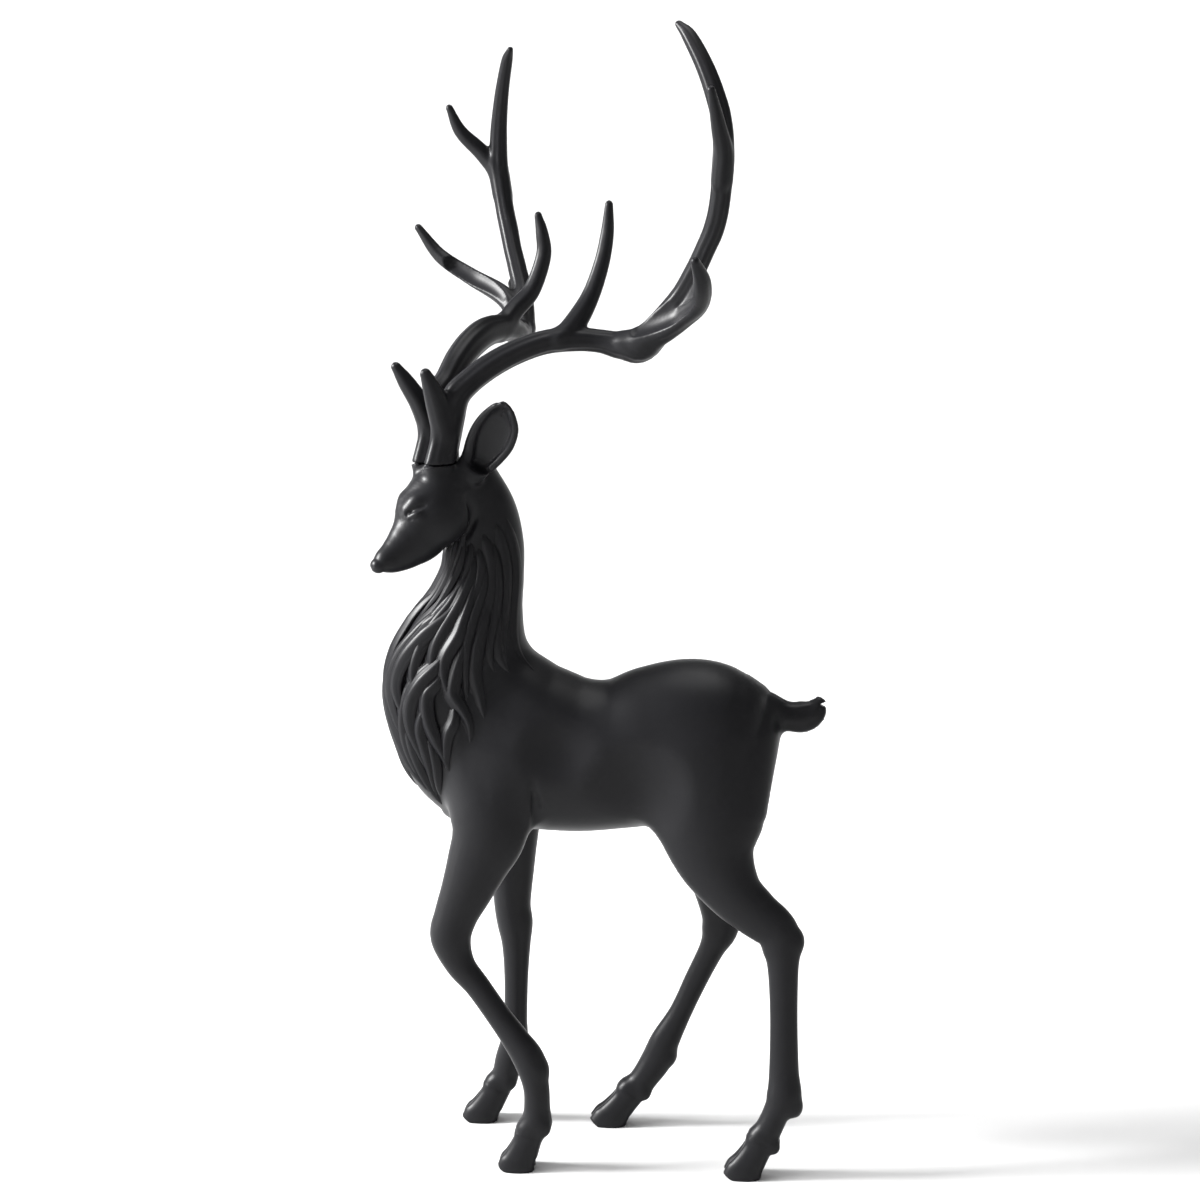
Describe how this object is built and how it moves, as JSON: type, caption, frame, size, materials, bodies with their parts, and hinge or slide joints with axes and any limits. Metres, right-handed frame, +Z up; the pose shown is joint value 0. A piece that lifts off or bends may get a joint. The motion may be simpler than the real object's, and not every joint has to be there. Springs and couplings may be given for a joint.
{
  "type": "reindeer statue",
  "caption": "Standing reindeer statue in black resin, with a turned head, a carved mane and branching antlers; it rests on its own hooves.",
  "frame": {"origin": "on the floor, under the middle of the whole statue's bounding box", "axes": "+Z up from the soles to the antlers; the deer faces -X, its tail is at +X, and its left side faces -Y"},
  "size_m": [0.1812, 0.155, 0.4593],
  "materials": {
    "black_resin": "satin black resin"
  },
  "bodies": {
    "root": {"deer_body": "black_resin", "left_antler": "black_resin", "right_antler": "black_resin"}
  },
  "joints": []
}
